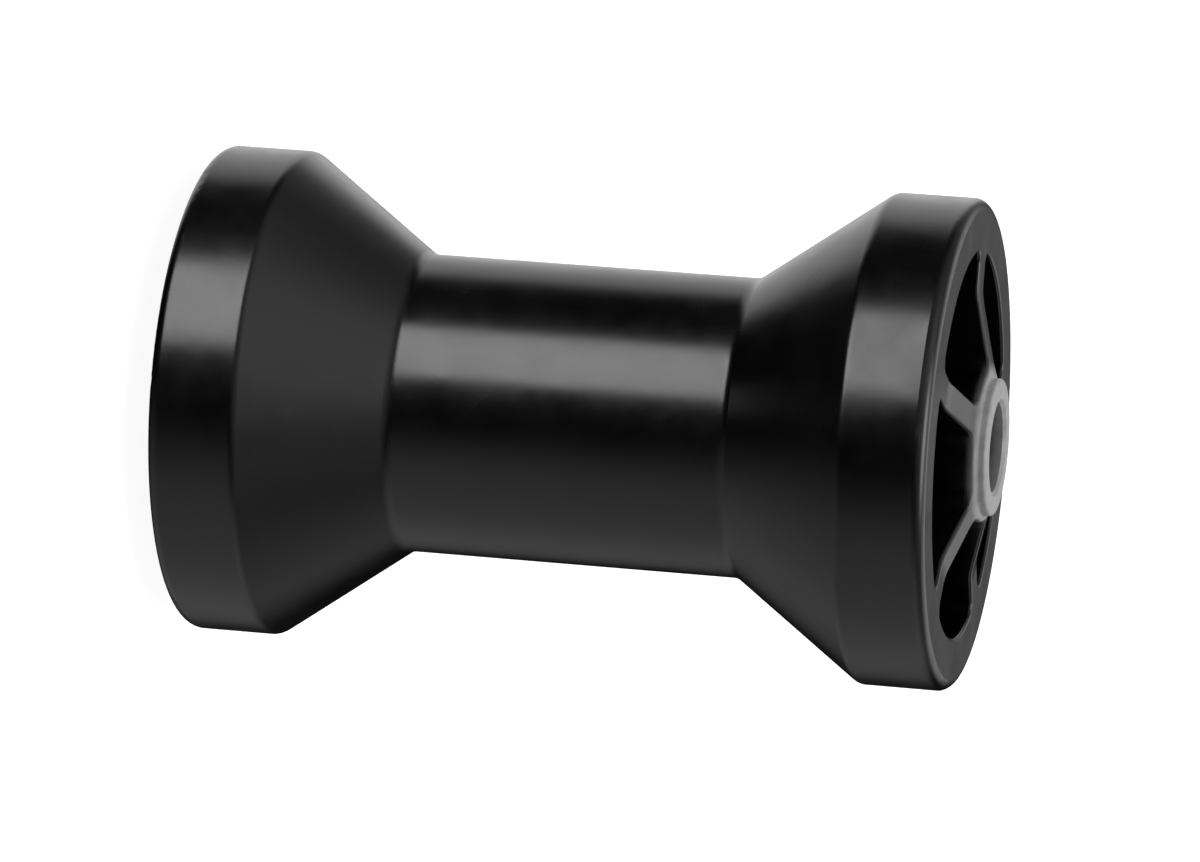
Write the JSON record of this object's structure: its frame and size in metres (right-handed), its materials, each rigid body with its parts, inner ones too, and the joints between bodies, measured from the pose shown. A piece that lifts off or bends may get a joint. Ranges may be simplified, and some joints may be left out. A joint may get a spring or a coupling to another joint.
{
  "type": "boat trailer roller",
  "caption": "Spool-shaped keel roller: a straight waist between two cones and wide rims, ribbed hollow ends and a through bore for a shaft.",
  "frame": {"origin": "on the roller's axis, at the lower collar's end face", "axes": "+Z is the roller's axis, from the lower end to the upper; +X points at the middle of one pocket and away from one rib, which lies along -X at both ends"},
  "size_m": [0.0738, 0.0738, 0.1258],
  "materials": {
    "moulded_rubber": "satin"
  },
  "bodies": {
    "root": {"roller": "moulded_rubber"}
  },
  "joints": []
}
